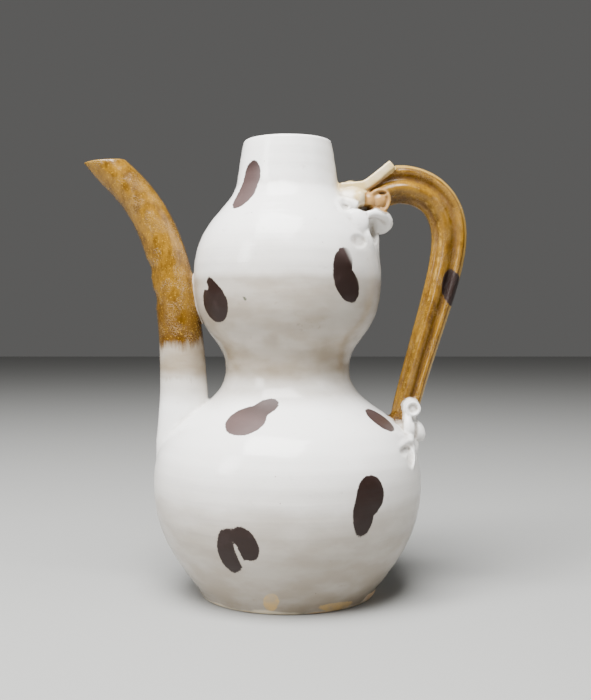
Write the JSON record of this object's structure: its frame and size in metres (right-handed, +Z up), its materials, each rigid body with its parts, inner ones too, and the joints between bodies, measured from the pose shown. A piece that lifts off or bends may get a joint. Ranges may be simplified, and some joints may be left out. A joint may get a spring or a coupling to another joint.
{
  "type": "double-gourd ewer",
  "caption": "White-glazed double-gourd ewer with brown dabs, a slender curved spout and an amber arched handle held by applied curls and leaves.",
  "frame": {"origin": "middle of the flat underside, on the axis of the thrown body", "axes": "+Z up through the mouth, +X towards the handle, -X towards the spout"},
  "size_m": [0.1699, 0.1178, 0.2],
  "materials": {
    "glaze": "glossy white glaze, amber on the handle and the upper spout, with brown painted dabs"
  },
  "bodies": {
    "root": {"ewer": "glaze"}
  },
  "joints": []
}
